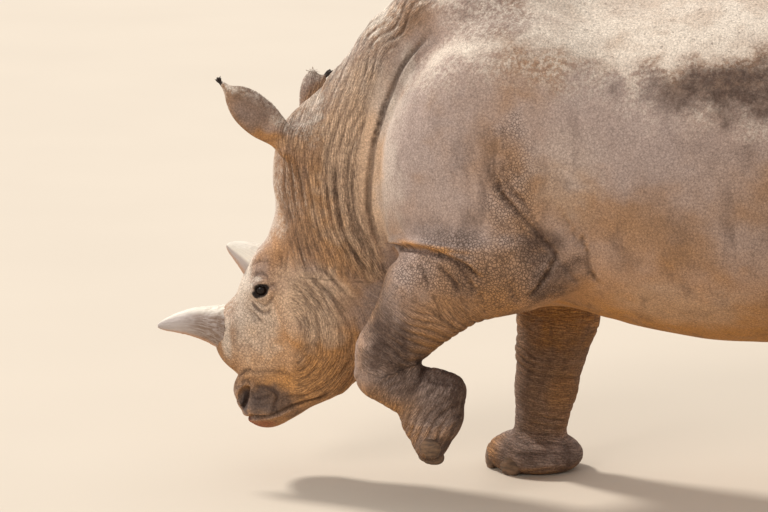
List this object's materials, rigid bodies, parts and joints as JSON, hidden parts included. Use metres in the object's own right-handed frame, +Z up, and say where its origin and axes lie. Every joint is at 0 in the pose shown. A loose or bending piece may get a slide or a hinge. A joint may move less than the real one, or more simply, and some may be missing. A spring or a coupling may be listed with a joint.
{
  "type": "white rhinoceros",
  "caption": "Life-size still model of a white rhinoceros walking with its head low and its left forefoot raised, standing on its other feet.",
  "frame": {"origin": "on the floor, in the middle of the whole animal's length and width", "axes": "+X from head to tail, +Y the animal's right, +Z up"},
  "size_m": [3.3764, 1.0518, 1.8158],
  "materials": {
    "hide": "dry, finely cracked and folded hide with a pale dust on the back",
    "horn": "worn fibrous horn, matt",
    "eye": "wet, very dark brown",
    "nail": "dull, dusty nail",
    "hair": "coarse dark bristles of the ears and the tail"
  },
  "bodies": {
    "root": {"trunk": "hide", "neck": "hide", "head": "hide", "tail": "hide", "leg_front_left": "hide", "leg_front_right": "hide", "leg_hind_left": "hide", "leg_hind_right": "hide", "ear_left": "hide", "ear_right": "hide", "eye_left": "eye", "eye_right": "eye", "horn_front": "horn", "horn_rear": "horn", "toenail_front_left_inner": "nail", "toenail_front_left_middle": "nail", "toenail_front_left_outer": "nail", "toenail_front_right_inner": "nail", "toenail_front_right_middle": "nail", "toenail_front_right_outer": "nail", "toenail_hind_left_inner": "nail", "toenail_hind_left_middle": "nail", "toenail_hind_left_outer": "nail", "toenail_hind_right_inner": "nail", "toenail_hind_right_middle": "nail", "toenail_hind_right_outer": "nail"}
  },
  "joints": []
}
